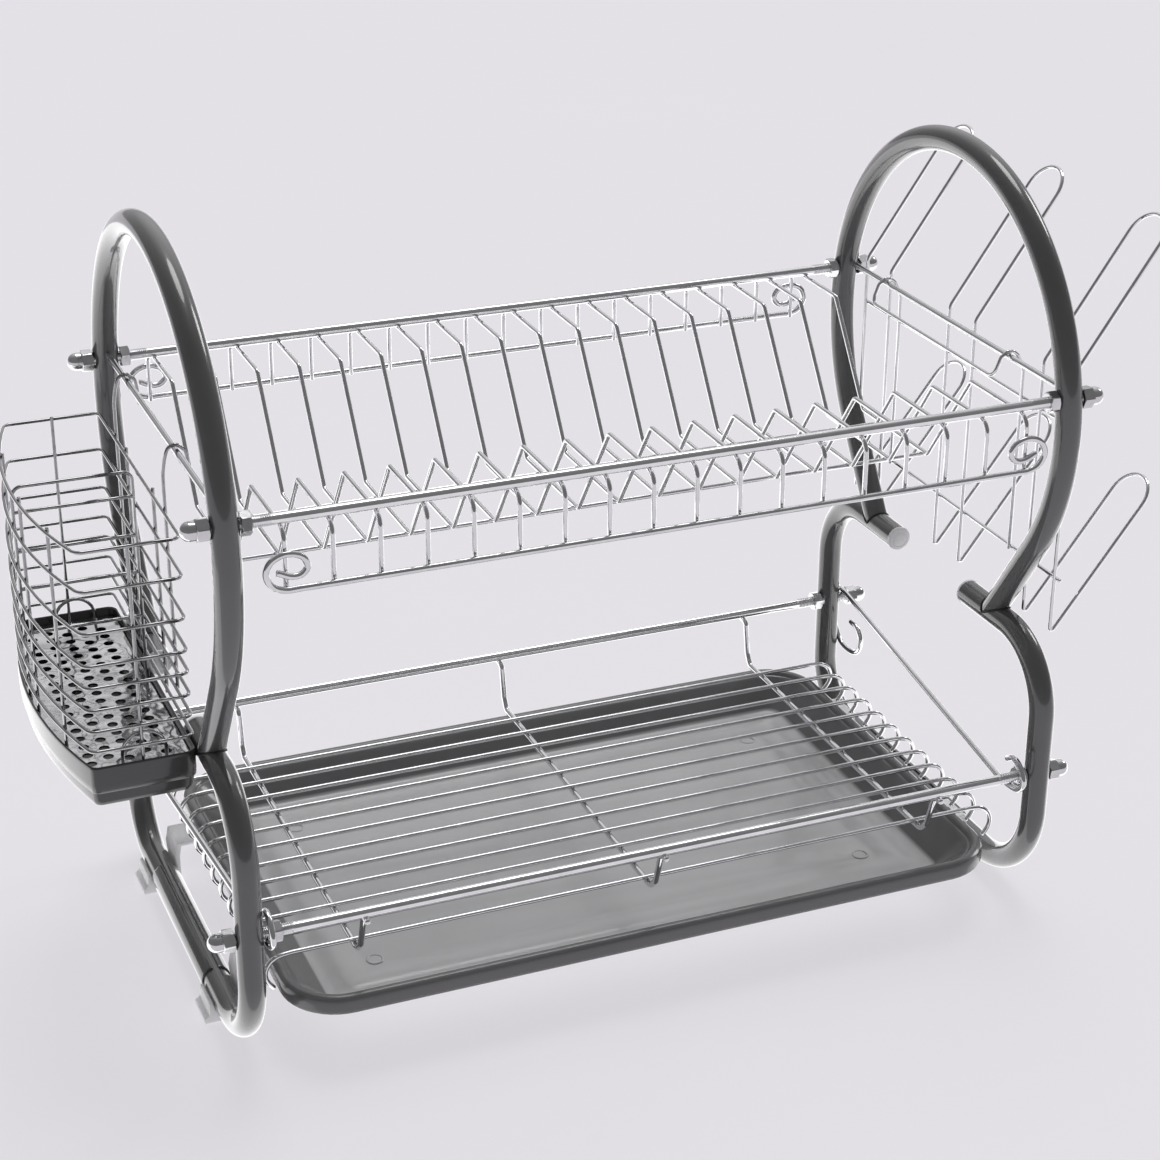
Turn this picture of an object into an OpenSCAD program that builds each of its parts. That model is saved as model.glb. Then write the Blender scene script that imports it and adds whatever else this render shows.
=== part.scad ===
// Two-tier dish drying rack: tube side frames, through rods with nuts, a plate rack,
// a wire shelf over a sliding drip tray, a hanging cutlery basket and a hanging cup holder.
// X runs along the rack, Y from the front to the back, Z up from the floor.

/* [Side frames] */
// distance between the centre planes of the two side frames
frame_span = 430; // [340:1:560]
// outer diameter of the frame tube
tube_d = 13.5; // [10:0.5:20]
// wall of the frame tube
tube_wall = 1.2; // [0.8:0.1:2]
// radius of the hoop centre line
hoop_r = 120.5; // [118:0.5:122]
// height of the hoop centre
hoop_z = 271; // [266:1:276]
// how far each side of the hoop runs below its centre, in degrees
hoop_drop = 34.2; // [30:0.1:38]
// half depth of the base frame at its centre line
base_y = 120; // [110:0.5:130]
// height of the bottom run of the base frame
base_z = 10.5; // [9:0.5:14]
// height of the upper run of the base frame
base_top_z = 152; // [140:1:165]
// upper bend radius of the base frame
base_bend_top = 50; // [35:1:55]
// lower front bend radius of the base frame
base_bend_front = 48; // [25:1:50]
// lower back bend radius of the base frame
base_bend_back = 32; // [25:1:33]
// distance of the capped tube ends from the middle
tip_y = 39; // [25:1:60]

/* [Rods and nuts] */
// half distance between the front and back rods
rod_y = 118; // [105:0.5:125]
// height of the lower rods
rod_low_z = 80; // [76:1:84]
// height of the upper rods
rod_up_z = 291; // [270:1:305]
// plain rod diameter
rod_d = 5.3; // [4:0.1:8]
// diameter over the threaded ends
thread_d = 5.9; // [4:0.1:8]
// length of thread seen inside each frame
thread_in = 22; // [10:1:40]
// nut width across flats
nut_af = 10; // [8:0.5:14]
// hex nut thickness
nut_h = 5; // [3:0.5:8]
// length of an acorn nut
acorn_h = 13; // [13:0.5:18]

/* [Plate rack] */
// number of plate rungs
rung_count = 18; // [8:1:24]
// spacing of the plate rungs
rung_pitch = 22.28; // [16:0.01:30]
// rung wire diameter
rung_d = 2.4; // [2:0.1:4]
// rail wire diameter
rail_d = 3.2; // [2:0.1:5]

/* [Lower shelf] */
// number of lengthwise wires
shelf_count = 12; // [6:1:16]
// spacing of the lengthwise wires
shelf_pitch = 17; // [12:0.5:24]
// lengthwise wire diameter
shelf_d = 2.4; // [2:0.1:4]
// height of the lengthwise wires
shelf_z = 52.7; // [50:0.1:58]

/* [Drip tray] */
// half length of the tray
tray_x = 195.5; // [170:0.5:196]
// half width of the tray
tray_y = 125; // [110:0.5:130]
// corner radius of the tray
tray_corner = 30; // [25:1:60]
// height of the rim top
tray_top = 38; // [36:0.5:39]
// how far the turned-down lip of the tray hangs below its top
tray_lip = 9.5; // [6:0.5:10]
// height of the underside of the tray floor
tray_low = 18.6; // [17:0.2:24]

/* [Cutlery basket] */
// inner side line of the basket rings
basket_x = -223.6; // [-230:0.1:-223]
// length of the short sides up to the bowed side
basket_w = 48.4; // [35:0.1:60]
// how far the outer side bows out
basket_bow = 13.5; // [5:0.5:20]
// front of the basket
basket_front = -68.5; // [-80:0.5:-50]
// back of the basket
basket_back = 104.5; // [104:0.5:110]
// basket wire diameter
basket_d = 1.8; // [1.5:0.1:3]

/* [Cup holder] */
// plane of the cup holder uprights
holder_x = 223.9; // [223:0.1:230]
// cup holder wire diameter
holder_d = 2; // [1.6:0.1:3]

/* [Hidden] */

frame_x = frame_span / 2;
tube_r = tube_d / 2;
weld = 0.2;
wire_sides = 8;
hoop_sides = 20;
nut_clear = 0.25;
thread_r = thread_d / 2;
rod_r = rod_d / 2;
guard_d = 3.2;
guard_out = frame_x + tube_r + guard_d / 2 + 0.25;
bar_d = 3.4;
bar_z = 295;
rung_top = rod_up_z - rod_r - rung_d / 2 + 0.1;
rung_low = rod_up_z - 58.1;
rail_z = rod_up_z - 32;
rail_front = -125.2;
rail_back = 138.8;
rung_front = rail_front + (rail_d + rung_d) / 2 - 0.15;
rung_back = rail_back - (rail_d + rung_d) / 2 + 0.15;
first_rung = -(rung_count - 1) / 2 * rung_pitch;
cross_z = shelf_z - shelf_d / 2 - rail_d / 2 + 0.1;
first_shelf = 89.5 - (shelf_count - 1) * shelf_pitch;
ring_zs = [266.7, 246.9, 225.7, 209.1, 197.8, 186.2, 175.1, 164.7];
plate_z = 152.6;
basket_mid = (basket_front + basket_back) / 2;
bow_half = (basket_back - basket_front) / 2;
bow_r = (bow_half * bow_half + basket_bow * basket_bow) / (2 * basket_bow);
inner_up = basket_x - basket_d + 0.15;
inner_post = basket_x + basket_d - 0.15;
loop_pairs = [[108.5, 81], [15, -12], [-80.5, -107]];
holder_rail_x = holder_x + holder_d - 0.15;

// a straight piece of round wire from p to q
module seg(p, q, r) {
    d = q - p;
    l = norm(d);
    translate(p)
        rotate([0, acos(d[2] / l), atan2(d[1], d[0])])
            cylinder(h = l, r = r, $fn = 32);
}

function unit(v) = v / norm(v);

// round section at point p, square to direction u
function section(p, u, r, sides) =
    let (
        e1 = unit(cross(abs(u[2]) < 0.9 ? [0, 0, 1] : [1, 0, 0], u)),
        e2 = cross(u, e1),
        rc = r * sqrt(360 / sides * PI / 180 / sin(360 / sides))
    )
    [
        for (k = [0 : sides - 1])
            let (a = (k + 0.5) * 360 / sides)
                p + e1 * rc * cos(a) + e2 * rc * sin(a)
    ];

// a section moved along u onto the plane through p with normal n
function slide_to(sec, u, p, n) = [for (c = sec) c + u * (((p - c) * n) / (u * n))];

// direction of the bisecting plane at point i of a path
function mitre_normal(pts, i, closed) =
    let (
        c = len(pts),
        before = unit(pts[i] - pts[(i + c - 1) % c]),
        after = unit(pts[(i + 1) % c] - pts[i])
    )
    closed ? unit(before + after) : i == 0 ? after : i == c - 1 ? before : unit(before + after);

// the sections at points i to the last, carried along the path from section sec
function sections_on(pts, sec, i, closed) =
    i >= len(pts) ? [] :
    let (next = slide_to(sec, unit(pts[i] - pts[i - 1]), pts[i], mitre_normal(pts, i, closed)))
    concat([next], sections_on(pts, next, i + 1, closed));

function path_sections(pts, r, sides, closed) =
    let (
        u = unit(pts[1] - pts[0]),
        start = slide_to(section(pts[0], u, r, sides), u, pts[0], mitre_normal(pts, 0, closed))
    )
    concat([start], sections_on(pts, start, 1, closed));

// round wire through a list of points
module wire(pts, r) {
    skin_solid(path_sections(pts, r, wire_sides, false));
}

// closed round wire through a list of points
module ring_wire(pts, r) {
    skin_ring(path_sections(pts, r, wire_sides, true));
}

// distance of the bowed outer side from the line of the short sides, at depth y
function bow_at(y) = sqrt(bow_r * bow_r - (y - basket_mid) * (y - basket_mid)) - bow_r + basket_bow;

// hoop as a solid bar of radius r: a large arc with a straight leg at both ends
module hoop_body(r) {
    arc_steps = 40;
    ey = hoop_r * cos(hoop_drop);
    ez = hoop_r * sin(hoop_drop);
    foot_y = ey - (hoop_z - ez - base_top_z) * tan(hoop_drop);
    path = concat(
        [[0, foot_y, base_top_z]],
        [
            for (k = [0 : arc_steps])
                let (a = -hoop_drop + k * (180 + 2 * hoop_drop) / arc_steps)
                    [0, hoop_r * cos(a), hoop_z + hoop_r * sin(a)]
        ],
        [[0, -foot_y, base_top_z]]
    );
    skin_solid(path_sections(path, r, hoop_sides, false));
}

// one quarter bend in the side plane, centred on the bend centre
module quarter_bend(r, bend, from) {
    rotate([90, 0, 90])
        rotate([0, 0, from])
            rotate_extrude(angle = 90, $fn = 96)
                translate([bend, 0])
                    circle(r = r, $fn = 64);
}

// base frame centre line as a solid tube of radius r
module base_body(r, tip) {
    top = base_y - base_bend_top;
    translate([0, base_bend_front - base_y, base_z])
        rotate([-90, 0, 0])
            cylinder(h = 2 * base_y - base_bend_front - base_bend_back, r = r, $fn = 64);
    for (s = [0, 1]) mirror([0, s, 0]) {
        bend = s == 0 ? base_bend_back : base_bend_front;
        translate([0, base_y - bend, base_z + bend]) quarter_bend(r, bend, 270);
        translate([0, base_y, base_z + bend])
            cylinder(h = base_top_z - base_z - bend - base_bend_top, r = r, $fn = 64);
        translate([0, top, base_top_z - base_bend_top]) quarter_bend(r, base_bend_top, 0);
        translate([0, tip, base_top_z])
            rotate([-90, 0, 0])
                cylinder(h = top - tip, r = r, $fn = 64);
    }
}

module rod_holes(z) {
    for (s = [-1, 1])
        translate([-tube_d, s * rod_y, z])
            rotate([0, 90, 0])
                cylinder(h = 2 * tube_d, r = thread_r + 0.1, $fn = 48);
}

module hoop(x) {
    translate([x, 0, 0])
        difference() {
            hoop_body(tube_r);
            hoop_body(tube_r - tube_wall);
            base_body(tube_r - weld, tip_y);
            rod_holes(rod_up_z);
        }
}

module base_frame(x) {
    translate([x, 0, 0])
        difference() {
            base_body(tube_r, tip_y);
            base_body(tube_r - tube_wall, tip_y - 1);
            rod_holes(rod_low_z);
        }
}

module hoop_left() {
    color([0.36, 0.36, 0.37])
    hoop(-frame_x);
}

module hoop_right() {
    color([0.36, 0.36, 0.37])
    hoop(frame_x);
}

module base_frame_left() {
    color([0.36, 0.36, 0.37])
    base_frame(-frame_x);
}

module base_frame_right() {
    color([0.36, 0.36, 0.37])
    base_frame(frame_x);
}

// round plugs in the four open tube ends: a stem inside the tube and a stepped head
module end_caps() {
    color([0.65, 0.65, 0.66])
    for (x = [-frame_x, frame_x], s = [0, 1])
        mirror([0, s, 0])
            translate([x, tip_y, base_top_z])
                rotate([-90, 0, 0]) {
                    cylinder(h = 9, r = tube_r - tube_wall - 0.05, $fn = 64);
                    translate([0, 0, -1.2]) cylinder(h = 1.2, r = tube_r, $fn = 64);
                    translate([0, 0, -2]) cylinder(h = 1, r = tube_r - 0.9, $fn = 64);
                }
}

// split sleeve round the bottom run, open along its top
module base_sleeve(x) {
    sleeve_r = tube_r + 1;
    translate([x, -44, base_z])
        rotate([-90, 0, 0])
            difference() {
                cylinder(h = 108, r = sleeve_r, $fn = 64);
                translate([0, 0, -1]) cylinder(h = 110, r = tube_r + 0.03, $fn = 64);
                translate([-1.6, -sleeve_r - 1, -1]) cube([3.2, 6, 110]);
            }
}

module base_sleeve_left() {
    color([0.3, 0.3, 0.31])
    base_sleeve(-frame_x);
}

module base_sleeve_right() {
    color([0.3, 0.3, 0.31])
    base_sleeve(frame_x);
}

// clip profile across the tube: floor pad, outer arm, and inner wing with a tray ledge
module clip_profile() {
    ledge_top = tray_top - tray_lip - 0.4;
    polygon([
        [-10, 0], [12, 0], [12, 3], [9.4, 5], [9.2, 11.5], [6, 11.5], [0, 9],
        [-6, 9], [-6, 20], [-7.6, ledge_top], [-27, ledge_top],
        [-26, ledge_top - 2.2], [-10, ledge_top - 2.2], [-9.2, 20], [-9.2, 5], [-10, 3]
    ]);
}

// foot clips pressed up over the bottom run, standing on the floor
module foot_clips() {
    color([0.92, 0.92, 0.9, 0.9])
    for (m = [0, 1], y = [[-66, 20], [66, 21]])
        mirror([m, 0, 0])
            translate([frame_x, 0, 0])
                difference() {
                    translate([0, y[0] + y[1], 0])
                        rotate([90, 0, 0])
                            linear_extrude(y[1])
                                clip_profile();
                    translate([0, -90, base_z])
                        rotate([-90, 0, 0])
                            cylinder(h = 200, r = tube_r, $fn = 64);
                }
}

// rod along X with a threaded length at both ends
module rod(y, z, reach) {
    plain = frame_x - thread_in;
    translate([0, y, z])
        rotate([0, 90, 0]) {
            translate([0, 0, -plain]) cylinder(h = 2 * plain, r = rod_r, $fn = 48);
            for (s = [0, 1]) mirror([0, 0, s]) {
                translate([0, 0, plain]) cylinder(h = reach - plain, r = thread_r, $fn = 48);
            }
        }
}

module rod_upper_front() {
    color([0.8, 0.8, 0.8])
    rod(-rod_y, rod_up_z, 231);
}

module rod_upper_back() {
    color([0.8, 0.8, 0.8])
    rod(rod_y, rod_up_z, 231);
}

module rod_lower_front() {
    color([0.8, 0.8, 0.8])
    rod(-rod_y, rod_low_z, 231);
}

module rod_lower_back() {
    color([0.8, 0.8, 0.8])
    rod(rod_y, rod_low_z, 234.5);
}

// hexagonal prism along Z with chamfered corners at both faces
module hex_body(h) {
    corner_r = nut_af / 2 / cos(30);
    intersection() {
        cylinder(h = h, r = corner_r, $fn = 6);
        union() {
            cylinder(h = 0.6, r1 = nut_af / 2, r2 = corner_r, $fn = 48);
            translate([0, 0, 0.6]) cylinder(h = h - 1.2, r = corner_r, $fn = 48);
            translate([0, 0, h - 0.6]) cylinder(h = 0.6, r1 = corner_r, r2 = nut_af / 2, $fn = 48);
        }
    }
}

module hex_nut() {
    difference() {
        hex_body(nut_h);
        translate([0, 0, -1]) cylinder(h = nut_h + 2, r = thread_r + 0.05, $fn = 48);
    }
}

// acorn nut: hexagonal base and a round closed dome, with a blind bore
module acorn_nut() {
    dome_r = 4.7;
    difference() {
        union() {
            hex_body(nut_h + 1);
            translate([0, 0, nut_h - 0.5]) cylinder(h = acorn_h - dome_r - nut_h + 0.5, r = dome_r, $fn = 48);
            translate([0, 0, acorn_h - dome_r]) sphere(r = dome_r, $fn = 48);
        }
        translate([0, 0, -1]) cylinder(h = 11, r = thread_r + 0.05, $fn = 48);
    }
}

// the inside lock nuts of all four rods
module hex_nuts() {
    color([0.82, 0.82, 0.82])
    for (y = [-rod_y, rod_y], z = [rod_low_z, rod_up_z], m = [0, 1]) {
        shift = (m == 1 && y < 0 && z < 200) ? guard_d + 0.6 : 0;
        mirror([m, 0, 0])
            translate([frame_x - tube_r - nut_clear - nut_h - shift, y, z])
                rotate([0, 90, 0])
                    hex_nut();
    }
}

// the closed nuts on the outer rod ends; those at the lower back stand over the guard wires
module acorn_nuts() {
    color([0.82, 0.82, 0.82])
    for (y = [-rod_y, rod_y], z = [rod_low_z, rod_up_z], m = [0, 1]) {
        shift = (y > 0 && z < 200) ? guard_d + 0.5 : 0;
        mirror([m, 0, 0])
            translate([frame_x + tube_r + nut_clear + shift, y, z])
                rotate([0, 90, 0])
                    acorn_nut();
    }
}

// side bar between the two sides of a hoop, with a weld collar at each end
module side_bar(x) {
    reach = sqrt(pow(hoop_r - tube_r, 2) - pow(bar_z - hoop_z, 2)) + 0.5;
    translate([x, -reach, bar_z])
        rotate([-90, 0, 0])
            cylinder(h = 2 * reach, r = bar_d / 2, $fn = 48);
}

module side_bar_left() {
    color([0.75, 0.75, 0.75])
    side_bar(-frame_x);
}

module side_bar_right() {
    color([0.75, 0.75, 0.75])
    side_bar(frame_x);
}

// plate rungs: down at the back, level under the rods, a V-shaped trough, down at the front
module plate_rungs() {
    color([0.8, 0.8, 0.8])
    for (i = [0 : rung_count - 1]) {
        x = first_rung + i * rung_pitch;
        wire([
            [x, rung_back, rail_z - 1], [x, rung_back, rung_top - 6],
            [x, rung_back - 1.8, rung_top - 1.8], [x, rung_back - 6, rung_top],
            [x, 81.3, rung_top], [x, 42.5, rung_low], [x, -29.4, rung_low],
            [x, -68.3, rung_top], [x, rung_front + 6, rung_top],
            [x, rung_front + 1.8, rung_top - 1.8], [x, rung_front, rung_top - 6],
            [x, rung_front, rail_z - 1]
        ], rung_d / 2);
    }
}

// rail of the plate rack with a scroll at each end curling back over it
module plate_rail(y) {
    wire([
        [-193.9, y, rail_z + 9], [-188, y, rail_z + 6.4], [-183, y, rail_z + 6.6],
        [-179.9, y, rail_z + 10.4], [-182.8, y, rail_z + 15.6], [-190, y, rail_z + 17.4],
        [-196.6, y, rail_z + 14.6], [-199.2, y, rail_z + 8.6], [-196.2, y, rail_z + 2.6],
        [-190.5, y, rail_z],
        [190.5, y, rail_z], [196.2, y, rail_z + 2.6], [199.2, y, rail_z + 8.6],
        [196.6, y, rail_z + 14.6], [190, y, rail_z + 17.4], [182.8, y, rail_z + 15.6],
        [179.9, y, rail_z + 10.4], [183, y, rail_z + 6.6], [188, y, rail_z + 6.4],
        [193.9, y, rail_z + 9]
    ], rail_d / 2);
}

module plate_rail_front() {
    color([0.8, 0.8, 0.8])
    plate_rail(rail_front);
}

module plate_rail_back() {
    color([0.8, 0.8, 0.8])
    plate_rail(rail_back);
}

// two lengthwise wires under the trough
module plate_trough_wires() {
    color([0.8, 0.8, 0.8])
    for (y = [-23, 26])
        translate([first_rung - 2, y, rung_low - rung_d + 0.1])
            rotate([0, 90, 0])
                cylinder(h = -2 * first_rung + 4, r = rung_d / 2, $fn = 32);
}

// lengthwise shelf wires with hooked ends
module shelf_wires() {
    color([0.8, 0.8, 0.8])
    for (i = [0 : shelf_count - 1]) {
        y = first_shelf + i * shelf_pitch;
        wire([
            [-198.9, y, shelf_z - 18], [-202, y, shelf_z - 13.6], [-202.7, y, shelf_z - 9],
            [-200.8, y, shelf_z - 4.2], [-196.4, y, shelf_z - 1], [-190, y, shelf_z],
            [190, y, shelf_z], [196.4, y, shelf_z - 1], [200.8, y, shelf_z - 4.2],
            [202.7, y, shelf_z - 9], [202, y, shelf_z - 13.6], [198.9, y, shelf_z - 18]
        ], shelf_d / 2);
    }
}

// cross wires under the shelf, hung from the lower rods
module shelf_cross_wires() {
    tie = rod_low_z - rod_r - rail_d / 2 + 0.1;
    color([0.8, 0.8, 0.8])
    for (x = [-157, 0, 157])
        wire([
            [x, rod_y + 3, tie], [x, rod_y - 1, tie], [x, rod_y - 5, tie - 4],
            [x, rod_y - 7, cross_z + 6], [x, rod_y - 12, cross_z],
            [x, -rod_y + 17, cross_z], [x, -rod_y + 10, cross_z + 6],
            [x, -rod_y + 5, tie - 4], [x, -rod_y + 1, tie], [x, -rod_y - 3, tie]
        ], rail_d / 2);
}

// slanting guard wire: outside the frame at the back, inside it at the front at xf, scrolled ends
module guard_wire(xf) {
    over = rod_low_z + thread_r + guard_d / 2 - 0.1;
    under = rod_low_z - rod_r - guard_d / 2 + 0.1;
    xb = guard_out;
    wire([
        [xb, 105, over - 16], [xb, 97, over - 17], [xb, 92, over - 23], [xb, 94.5, over - 31],
        [xb, 102, over - 35], [xb, 115, over - 35], [xb, 123, over - 29],
        [xb, 127, over - 18], [xb, 126.5, over - 6], [xb, 122.5, over - 1], [xb, 117, over],
        [xb, 109, over - 1],
        [xf, -108, under], [xf, -119, under], [xf, -127.5, under + 2], [xf, -132, under + 8],
        [xf, -127.5, under + 15], [xf, -121, under + 17.4], [xf, -115, under + 14.4]
    ], guard_d / 2);
}

module guard_wire_left() {
    color([0.8, 0.8, 0.8])
    mirror([1, 0, 0]) guard_wire(frame_x - tube_r - guard_d / 2 - 0.2);
}

module guard_wire_right() {
    color([0.8, 0.8, 0.8])
    guard_wire(199.5);
}

// rounded rectangle outline at height z, drawn in by inset
function tray_loop(inset, z) = [
    for (c = [0 : 3], k = [0 : 7])
        let (
            a = c * 90 + k * 90 / 7,
            r = max(tray_corner - inset, 8),
            sx = (c == 0 || c == 3) ? 1 : -1,
            sy = (c < 2) ? 1 : -1
        )
        [sx * (tray_x - inset - r) + r * cos(a), sy * (tray_y - inset - r) + r * sin(a), z]
];

// solid through a closed chain of outlines, each with the same number of points
module skin_ring(loops) {
    n = len(loops[0]);
    m = len(loops);
    polyhedron(
        points = [for (l = loops, p = l) p],
        faces = [
            for (j = [0 : m - 1], i = [0 : n - 1], t = [0, 1])
                t == 0
                    ? [j * n + i, ((j + 1) % m) * n + i, j * n + (i + 1) % n]
                    : [((j + 1) % m) * n + i, ((j + 1) % m) * n + (i + 1) % n, j * n + (i + 1) % n]
        ]
    );
}

// solid between a bottom outline and a top outline through the outlines between them
module skin_solid(loops) {
    n = len(loops[0]);
    m = len(loops);
    polyhedron(
        points = [for (l = loops, p = l) p],
        faces = concat(
            [[for (i = [0 : n - 1]) i]],
            [
                for (j = [0 : m - 2], i = [0 : n - 1], t = [0, 1])
                    t == 0
                        ? [j * n + i, (j + 1) * n + i, (j + 1) * n + (i + 1) % n]
                        : [j * n + i, (j + 1) * n + (i + 1) % n, j * n + (i + 1) % n]
            ],
            [[for (i = [n - 1 : -1 : 0]) (m - 1) * n + i]]
        )
    );
}

// drip tray: rolled rim, sloping sides, stepped floor with shallow round seats
module drip_tray() {
    wall = 1.6;
    color([0.5, 0.5, 0.51])
    difference() {
        skin_solid([
            tray_loop(26, tray_low), tray_loop(23, tray_low + 1), tray_loop(9, tray_top - tray_lip),
            tray_loop(1.2, tray_top - tray_lip), tray_loop(0, tray_top - tray_lip + 1.4),
            tray_loop(0, tray_top - 1.6), tray_loop(1.6, tray_top)
        ]);
        skin_solid([
            tray_loop(26 + wall, tray_low + wall), tray_loop(23 + wall, tray_low + wall + 1),
            tray_loop(10, tray_top - 4), tray_loop(6.4, tray_top + 0.5)
        ]);
        for (x = [-139, 139], y = [-71, 71])
            translate([x, y, tray_low + wall - 0.4])
                cylinder(h = 2, r = 4, $fn = 48);
    }
}

// plan points of one basket ring at height z, from the inner front corner round the bowed side
function ring_plan(z) = concat(
    [[basket_x, basket_back - 4, z], [basket_x, basket_front + 4, z]],
    [[basket_x - 1.2, basket_front + 1.2, z], [basket_x - 4, basket_front, z]],
    [[basket_x - basket_w + 3, basket_front, z]],
    [
        for (k = [0 : 6])
            let (y = basket_front + 2.5 + k * (basket_back - basket_front - 5) / 6)
                [basket_x - basket_w - bow_at(y), y, z]
    ],
    [[basket_x - basket_w + 3, basket_back, z]],
    [[basket_x - 4, basket_back, z], [basket_x - 1.2, basket_back - 1.2, z]]
);

module basket_rings() {
    color([0.8, 0.8, 0.8])
    for (z = ring_zs) ring_wire(ring_plan(z), basket_d / 2);
}

// uprights on the rack side of the rings, with hooks over the side bar
module basket_hooks() {
    hook_z = bar_z + bar_d / 2 + basket_d / 2 + 0.3;
    color([0.8, 0.8, 0.8])
    for (y = [70, -33])
        wire([
            [-frame_x + 5.6, y - 1, bar_z - 13], [-frame_x + 4.6, y, bar_z - 1.6],
            [-frame_x + 2.2, y, hook_z - 0.9], [-frame_x - 0.6, y, hook_z + 0.4],
            [-frame_x - 4.4, y, hook_z - 2], [-frame_x - 6.6, y, bar_z - 9],
            [inner_post, y, bar_z - 19], [inner_post, y, 173]
        ], basket_d / 2);
}

// plain uprights on the rings: two on the rack side, the others inside, down to the floor plate
module basket_uprights() {
    color([0.8, 0.8, 0.8]) {
        for (y = [-8, 48])
            seg([inner_post, y, 158.5], [inner_post, y, ring_zs[0] + 1.5], basket_d / 2);
        for (y = [-38, 3, 62]) {
            x = basket_x - basket_w - bow_at(y) + basket_d - 0.3;
            seg([x, y, plate_z], [x, y, ring_zs[0] + 1.5], basket_d / 2);
        }
        for (y = [basket_front + basket_d - 0.15, basket_back - basket_d + 0.15])
            seg([-248, y, plate_z], [-248, y, ring_zs[0] + 1.5], basket_d / 2);
    }
}

// divider across the basket: an upside-down U with cross wires
module basket_divider() {
    y = 22.5;
    xo = basket_x - basket_w - bow_at(y) + basket_d - 0.3;
    color([0.8, 0.8, 0.8]) {
        wire([
            [inner_up, y, plate_z], [inner_up, y, ring_zs[0] - 5], [inner_up - 4, y, ring_zs[0] - 1],
            [xo + 4, y, ring_zs[0] - 1], [xo, y, ring_zs[0] - 5], [xo, y, plate_z]
        ], basket_d / 2);
        for (z = [252.6, 232, 212, 188]) seg([inner_up, y, z], [xo, y, z], basket_d / 2);
    }
}

// low wire arches at the two short ends
module basket_arches() {
    color([0.8, 0.8, 0.8])
    for (y = [basket_front + 7.5, basket_back - 7.5])
        wire([
            [-235.5, y, plate_z], [-235.5, y, plate_z + 6], [-237.6, y, plate_z + 11],
            [-241.4, y, plate_z + 14.4], [-246, y, plate_z + 15.4], [-250.6, y, plate_z + 14.4],
            [-254.4, y, plate_z + 11], [-256.5, y, plate_z + 6], [-256.5, y, plate_z]
        ], basket_d / 2);
}

// plan outline of the basket base, grown outward by g
function base_plan(g) = concat(
    [[basket_x + g, basket_back + g - 5], [basket_x + g, basket_front - g + 5]],
    [[basket_x + g - 1.5, basket_front - g + 1.5], [basket_x + g - 5, basket_front - g]],
    [[basket_x - basket_w + 4, basket_front - g], [basket_x - basket_w - g, basket_front - g + 3]],
    [
        for (k = [1 : 11])
            let (y = basket_front + k * (basket_back - basket_front) / 12)
                [basket_x - basket_w - bow_at(y) - g, y]
    ],
    [[basket_x - basket_w - g, basket_back + g - 3], [basket_x - basket_w + 4, basket_back + g]],
    [[basket_x + g - 5, basket_back + g], [basket_x + g - 1.5, basket_back + g - 1.5]]
);

// perforated floor plate with staggered round holes
module drainer_plate() {
    step = 9;
    color([0.78, 0.78, 0.78])
    translate([0, 0, plate_z - 0.8])
        linear_extrude(0.9)
            difference() {
                polygon(base_plan(-0.9));
                for (i = [0 : 4], k = [0 : 16]) {
                    y = basket_front + 12 + k * step + (i % 2) * step / 2;
                    translate([basket_x - 11 - i * 9, y]) circle(r = 2.6, $fn = 32);
                }
            }
}

// open drip cup under the basket
module basket_drip_cup() {
    rim = 157;
    color([0.3, 0.3, 0.31])
    translate([0, 0, rim - 22]) {
        difference() {
            union() {
                translate([0, 0, 3]) linear_extrude(19) polygon(base_plan(1.2));
                linear_extrude(3.5) polygon(base_plan(-1.6));
            }
            translate([0, 0, 3.4]) linear_extrude(20) polygon(base_plan(-0.3));
            translate([0, 0, 1.6]) linear_extrude(2.4) polygon(base_plan(-3.2));
        }
    }
}

// arch through points that lie on a slanted plane from foot to peak, between depths a and b
function slant_arch(foot, peak, a, b) =
    let (
        d = peak - foot,
        l = norm(d),
        u = d / l,
        h = abs(a - b) / 2,
        m = (a + b) / 2,
        s = sign(a - b)
    )
    [
        for (k = [0 : 8])
            let (t = k * 22.5, q = foot + u * (l - h + h * sin(t)))
                [q[0], m + s * h * cos(t), q[1]]
    ];

// cup holder loops: each is one closed wire, with an upper and a lower loop joined by uprights
module holder_loops() {
    r = holder_d / 2;
    x = holder_x;
    color([0.8, 0.8, 0.8])
    for (p = loop_pairs) {
        top = slant_arch([x, 297.5], [x + 51.5, 372.5], p[0], p[1]);
        low = slant_arch([x + 5.5, 162.2], [x + 57.5, 231], p[1], p[0]);
        ring_wire(concat(
            [[x, p[0], 162.8], [x, p[0], 297.5]],
            top,
            [[x, p[1], 297.5], [x, p[1], 162.8], [x + 1, p[1], 160.2], [x + 3.4, p[1], 160]],
            low,
            [[x + 3.4, p[0], 160], [x + 1, p[0], 160.2]]
        ), r);
    }
}

// the two lengthwise rails that tie the loops together
module holder_rails() {
    color([0.8, 0.8, 0.8])
    for (q = [[271, 111], [186.5, 109.5]])
        translate([holder_rail_x, -q[1], q[0]])
            rotate([-90, 0, 0])
                cylinder(h = 2 * q[1], r = holder_d / 2, $fn = 32);
}

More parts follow.
